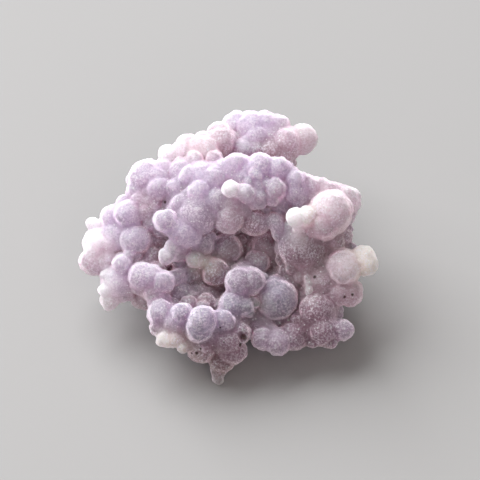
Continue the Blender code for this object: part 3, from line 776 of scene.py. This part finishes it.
def linear(hex_colour):
    """A colour in linear light, with full alpha, from its sRGB hex value."""
    channels = [int(hex_colour[i : i + 2], 16) / 255.0 for i in (1, 3, 5)]
    return [c / 12.92 if c <= 0.04045 else ((c + 0.055) / 1.055) ** 2.4 for c in channels] + [1.0]


places, outwards = skin_of(cluster.data)
middles = np.array([middle for middle, _, _ in skin_balls], np.float32)
radii = np.array([radius for _, radius, _ in skin_balls], np.float32)
tints = np.array([linear(tint) for _, _, tint in skin_balls], np.float32)
colours = np.empty((len(places), 4))
for start in range(0, len(places), CHUNK):
    chunk = places[start : start + CHUNK].astype(np.float32)
    apart = np.linalg.norm(chunk[:, None, :] - middles[None, :, :], axis=2) - radii
    share = np.exp(-apart / TINT_BLEND)
    colours[start : start + CHUNK] = share @ tints / share.sum(axis=1, keepdims=True)
tint_layer = cluster.data.color_attributes.new("tint", "FLOAT_COLOR", "POINT")
tint_layer.data.foreach_set("color", colours.ravel())

# How sheltered each place is: how much of its outlook the balls around it fill. The larger, the nearer and
# the more straight ahead a ball is, the more it fills. The material paints shade in the sheltered places by
# it.
SHELTER_REACH = 9.0  # balls farther away than this don't count
SHELTER_NEAREST = 0.5  # balls nearer than this count as this far away
around = seen + far + hidden + floor
middles = np.array([middle for middle, _, _ in around], np.float32)
radii = np.array([radius for _, radius, _ in around], np.float32)
shelter = np.empty(len(places))
for start in range(0, len(places), CHUNK):
    chunk = places[start : start + CHUNK].astype(np.float32)
    facing = outwards[start : start + CHUNK].astype(np.float32)
    distance = np.linalg.norm(chunk[:, None, :] - middles[None, :, :], axis=2)
    ahead = facing @ middles.T - (facing * chunk).sum(axis=1, keepdims=True)
    outlook = ahead.clip(0.0) * radii**2 / distance.clip(SHELTER_NEAREST) ** 3
    shelter[start : start + CHUNK] = np.where(distance < SHELTER_REACH, outlook, 0.0).sum(axis=1)

# The material reads that, and how deep in a crease each place lies, from the mesh, and paints shade by both.
CREASE_ROUNDS = 12  # how often the copy is smoothed that this depth is measured against
for name, values in (("shelter", shelter), ("crease", crease_depths(cluster.data, CREASE_ROUNDS))):
    layer = cluster.data.attributes.new(name, "FLOAT", "POINT")
    layer.data.foreach_set("value", values)

# Chalcedony: quartz too fine-grained to see, milky and lit from within, under a frosted skin of tiny grains.
# Light sinks in a few millimetres, red the deepest, and part of it goes through, so thin edges glow pale. A
# few grains of the skin have small white glints painted on them.
CLOUD_SIZE = 2.4  # soft milky clouds in the stone
FROST_SIZE = 0.32  # the skin's grains: real ones are a third of this, drawn coarser to show
FROST_RELIEF = 0.18  # how far they seem to stand out
FROST_PATCH = 3.0  # the frost lies thicker in some places than in others
# Glints are painted in white on a few grains: their size and their share.
GLINT_SIZE = 0.4  # the few grains that catch the light
GLINT_SHARE = 0.2  # how many of them do
LIGHT_DEPTHS = (7.5, 5.7, 6.7)  # how deep red, green and blue light sink in
# Painted shade: a dull plum in the creases and a deep maroon in the sheltered hollows.
CREASE_SHADE_TINT = "#8A5561"
DEEP_SHADE_TINT = "#A04A63"
# The frost: the skin's pale grain, partly painted sparkle.
FROST_AND_SPARKLE_TINT = "#F8EEF8"
# The painted glints.
PAINTED_GLINT_TINT = "#FFFFFF"
SHEEN_TINT = "#FCF1F6"

stone = bpy.data.materials.new("milky_chalcedony")
stone.use_nodes = True
nodes = stone.node_tree
surface = nodes.nodes["Principled BSDF"]
place = add(nodes, "ShaderNodeTexCoord").outputs["Object"]
tint = add(nodes, "ShaderNodeVertexColor", layer_name="tint").outputs["Color"]
paleness = add(nodes, "ShaderNodeSeparateColor", {"Color": tint}).outputs["Green"]
crease = add(nodes, "ShaderNodeAttribute", attribute_name="crease").outputs["Fac"]
sheltered = add(nodes, "ShaderNodeAttribute", attribute_name="shelter").outputs["Fac"]
slant = add(nodes, "ShaderNodeLayerWeight", {"Blend": 0.5}).outputs["Facing"]
cloud = add(nodes, "ShaderNodeTexNoise", {"Vector": place, "Scale": 1.0 / (CLOUD_SIZE * MM), "Detail": 4.0})
patch = add(nodes, "ShaderNodeTexNoise", {"Vector": place, "Scale": 1.0 / (FROST_PATCH * MM), "Detail": 2.0})
grain = add(
    nodes,
    "ShaderNodeTexNoise",
    {"Vector": place, "Scale": 1.0 / (FROST_SIZE * MM), "Detail": 3.0, "Roughness": 0.75},
).outputs["Fac"]
cells = add(nodes, "ShaderNodeTexVoronoi", {"Vector": place, "Scale": 1.0 / (GLINT_SIZE * MM)})

# Each step in the look: its name, what it reads, from which value to which, and what it gives at either end
steps = {}
for name, value, first, last, at_first, at_last in (
    ("cloud_shade", cloud.outputs["Fac"], 0.3, 0.7, 0.9, 1.15),
    ("crease_shade_share", crease, 0.02, 0.3, 0.0, 0.25),
    ("deep_shade_share", sheltered, 1.2, 3.4, 0.0, 0.85),
    ("pore_shade", grain, 0.34, 0.5, 0.8, 1.0),
    ("frost_on_grains", grain, 0.48, 0.58, 0.0, 1.0),
    ("frost_in_patches", patch.outputs["Fac"], 0.35, 0.65, 0.4, 0.95),
    ("frost_and_highlight_on_crowns", crease, -0.12, 0.06, 1.0, 0.3),
    ("painted_glint_core", cells.outputs["Distance"], 0.15, 0.4, 1.0, 0.0),
    ("clear_straight_on", slant, 0.4, 0.88, 0.7, 0.05),
    ("clear_unless_pale", paleness, 0.5, 0.8, 1.0, 0.68),
):
    ends = {"From Min": first, "From Max": last, "To Min": at_first, "To Max": at_last}
    steps[name] = add(nodes, "ShaderNodeMapRange", {"Value": value, **ends}).outputs[0]

# Pale frost lies on the grains, thickest in some patches and on the crowns of the balls, thinnest in the
# creases. It is partly the skin's own pale grain and partly painted sparkle: painted light on the crowns and
# painted shade in the creases. A few of the grains get a painted white glint.
thickness = add(
    nodes,
    "ShaderNodeMath",
    {0: steps["frost_in_patches"], 1: steps["frost_and_highlight_on_crowns"]},
    operation="MULTIPLY",
)
frost_and_sparkle = add(
    nodes,
    "ShaderNodeMath",
    {0: steps["frost_on_grains"], 1: thickness.outputs[0]},
    operation="MULTIPLY",
)
cell_shade = add(nodes, "ShaderNodeSeparateColor", {"Color": cells.outputs["Color"]})
chosen = add(
    nodes,
    "ShaderNodeMath",
    {0: cell_shade.outputs[0], 1: 1.0 - GLINT_SHARE},
    operation="GREATER_THAN",
)
painted_glint = add(nodes, "ShaderNodeMath", {0: chosen.outputs[0], 1: steps["painted_glint_core"]}, operation="MULTIPLY")

# Brown specks of another mineral, with ragged edges: across, up, radius
SPECKS = [
    (0.35, -14.5, 0.6),
    (0.2, -15.6, 0.35),
    (11.1, -5.4, 0.28),
    (15.6, -8.5, 0.26),
    (16.5, -8.3, 0.24),
    (-6.2, -16.9, 0.28),
    (-6.0, -15.9, 0.18),
    (-7.4, -17.0, 0.18),
    (-2.75, -13.1, 0.16),
    (-3.7, -14.0, 0.14),
    (-2.6, -15.2, 0.14),
    (-11.4, 5.8, 0.25),
]
SPECK_TINT = "#2E1714"
SPECK_RAGGED = 1.2  # how ragged their edges are
SPECK_CORE = 0.7  # a speck is at its darkest up to this share of its radius
SPECK_EDGE = 1.1  # and ends at this share
ragged = add(
    nodes,
    "ShaderNodeMath",
    {0: grain, 1: SPECK_RAGGED, 2: 1.0 - 0.5 * SPECK_RAGGED},
    operation="MULTIPLY_ADD",
)
specks = []
for across, up, radius in SPECKS:
    middle = seen_place(places, across, up) * MM
    away = add(nodes, "ShaderNodeVectorMath", {0: place, 1: middle}, operation="DISTANCE")
    reach = add(nodes, "ShaderNodeMath", {0: ragged.outputs[0], 1: radius * MM}, operation="MULTIPLY")
    ratio = add(nodes, "ShaderNodeMath", {0: away.outputs["Value"], 1: reach.outputs[0]}, operation="DIVIDE")
    ends = {"From Min": SPECK_CORE, "From Max": SPECK_EDGE, "To Min": 1.0, "To Max": 0.0}
    specks.append(add(nodes, "ShaderNodeMapRange", {"Value": ratio.outputs[0], **ends}))

# The colours lie over one another: the tint with its clouds, the painted shade of the creases and of the
# sheltered depths, the pores, and on top of them the frost with its painted sparkle, the painted glints and
# the specks.
clouded = add(nodes, "ShaderNodeVectorMath", {0: tint, "Scale": steps["cloud_shade"]}, operation="SCALE")
colour = clouded.outputs[0]
for share, over in ((steps["crease_shade_share"], CREASE_SHADE_TINT), (steps["deep_shade_share"], DEEP_SHADE_TINT)):
    mixed = add(nodes, "ShaderNodeMix", {0: share, 6: colour, 7: linear(over)}, data_type="RGBA")
    colour = mixed.outputs[2]
pored = add(nodes, "ShaderNodeVectorMath", {0: colour, "Scale": steps["pore_shade"]}, operation="SCALE")
colour = pored.outputs[0]
for layer, over in [(frost_and_sparkle, FROST_AND_SPARKLE_TINT), (painted_glint, PAINTED_GLINT_TINT)] + [(speck, SPECK_TINT) for speck in specks]:
    mixed = add(
        nodes,
        "ShaderNodeMix",
        {0: layer.outputs[0], 6: colour, 7: linear(over)},
        data_type="RGBA",
    )
    colour = mixed.outputs[2]

# Seen straight on, light comes out of the depth of a ball, and at its rim out of the pale milky skin. The
# paler the stone, the milkier it is.
clearness = add(
    nodes,
    "ShaderNodeMath",
    {0: steps["clear_straight_on"], 1: steps["clear_unless_pale"]},
    operation="MULTIPLY",
)
bump = add(nodes, "ShaderNodeBump", {"Strength": 1.0, "Distance": FROST_RELIEF * MM, "Height": grain})
nodes.links.new(colour, surface.inputs["Base Color"])
nodes.links.new(bump.outputs[0], surface.inputs["Normal"])
nodes.links.new(clearness.outputs[0], surface.inputs["Transmission Weight"])
finish = {
    "Roughness": 0.5,  # matt with frost
    "IOR": 1.54,  # quartz
    "Subsurface Weight": 1.0,
    "Subsurface Radius": LIGHT_DEPTHS,
    "Subsurface Scale": 1.0 * MM,
    "Sheen Weight": 1.0,  # the frost's bloom along the rims
    "Sheen Roughness": 0.3,
    "Sheen Tint": linear(SHEEN_TINT),
}
for socket, value in finish.items():
    surface.inputs[socket].default_value = value
cluster.data.materials.append(stone)

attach(cluster, "root")
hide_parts("chalcedony")

# The table: one plain sheet of matt grey card, pale in this light, and so wide that its edges stay out of the
# picture. The cluster lies on it by its cut.
TABLE_WIDTH = 3.0  # in metres
bpy.ops.mesh.primitive_plane_add(size=TABLE_WIDTH)
table = bpy.context.object
table.name = "table"
card = bpy.data.materials.new("pale_card")
card.use_nodes = True
card_surface = card.node_tree.nodes["Principled BSDF"]
card_surface.inputs["Base Color"].default_value = linear("#7C7C7A")
card_surface.inputs["Roughness"].default_value = 0.8
table.data.materials.append(card)

# Soft light: a wide window behind and to the left shines through the balls, and a weaker one in front and an
# even pale room keep their shaded sides open.
AIM = Vector((0.0, 0.0, VIEW_MIDDLE_HEIGHT)) * MM
ROOM_TINT = "#F2F2F4"
ROOM_STRENGTH = 0.6


def soft_light(name, place, size, watts, colour):
    """A square area light at a place in metres, turned to the cluster."""
    light = bpy.data.lights.new(name, "AREA")
    light.color = linear(colour)[:3]
    light.size = size
    light.energy = watts
    holder = bpy.data.objects.new(name, light)
    holder.location = place
    holder.rotation_euler = (AIM - Vector(place)).to_track_quat("-Z", "Y").to_euler()
    bpy.context.scene.collection.objects.link(holder)


soft_light("window_light", place=(-0.44, 0.44, 0.68), size=1.0, watts=31.0, colour="#FCFBFF")
soft_light("front_light", place=(0.10, -0.70, 0.70), size=0.8, watts=3.4, colour="#FFEDE4")
room = bpy.data.worlds.new("room")
room.use_nodes = True
background = room.node_tree.nodes["Background"]
background.inputs["Color"].default_value = linear(ROOM_TINT)
background.inputs["Strength"].default_value = ROOM_STRENGTH
bpy.context.scene.world = room
bpy.context.scene.view_settings.view_transform = "Standard"

# The camera looks down on the front as the laying-out view does, from so far away that near and far balls
# come out at nearly the same scale.
CAMERA_DISTANCE = 0.8  # in metres
FRAME_WIDTH = 0.072  # what the picture takes in at the cluster, in metres
SENSOR_WIDTH = 36.0
lens = bpy.data.cameras.new("camera")
lens.sensor_width = SENSOR_WIDTH
lens.lens = SENSOR_WIDTH * CAMERA_DISTANCE / FRAME_WIDTH
camera = bpy.data.objects.new("camera", lens)
camera.location = AIM + towards_the_viewer() * CAMERA_DISTANCE
camera.rotation_euler = (AIM - camera.location).to_track_quat("-Z", "Y").to_euler()
bpy.context.scene.collection.objects.link(camera)
bpy.context.scene.camera = camera

bpy.context.view_layer.update()
